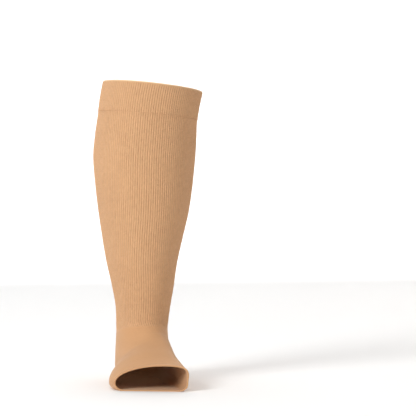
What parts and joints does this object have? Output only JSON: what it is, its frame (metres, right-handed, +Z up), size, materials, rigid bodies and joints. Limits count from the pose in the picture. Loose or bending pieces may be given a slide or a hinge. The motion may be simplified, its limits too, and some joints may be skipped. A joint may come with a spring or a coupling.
{
  "type": "compression stocking",
  "caption": "Below-knee, open-toe compression stocking for a right leg: doubled top band, ribbed leg shaped to calf and ankle, smoother foot with heel pocket, narrow toe band.",
  "frame": {"origin": "centre of the top opening, where the wearer's leg carries the stocking", "axes": "+Z up out of the top opening, -Y towards the toes, +X towards the big-toe side"},
  "size_m": [0.1409, 0.2024, 0.3928],
  "materials": {
    "ribbed_knit": "fine vertical ribs, matt elastic knit in warm beige",
    "plain_knit": "smooth fine elastic knit in warm beige",
    "band_knit": "doubled fine-ribbed elastic knit in warm beige, soft turned edge"
  },
  "bodies": {
    "root": {"top_band": "band_knit", "leg": "ribbed_knit", "foot": "plain_knit", "toe_band": "band_knit"}
  },
  "joints": []
}
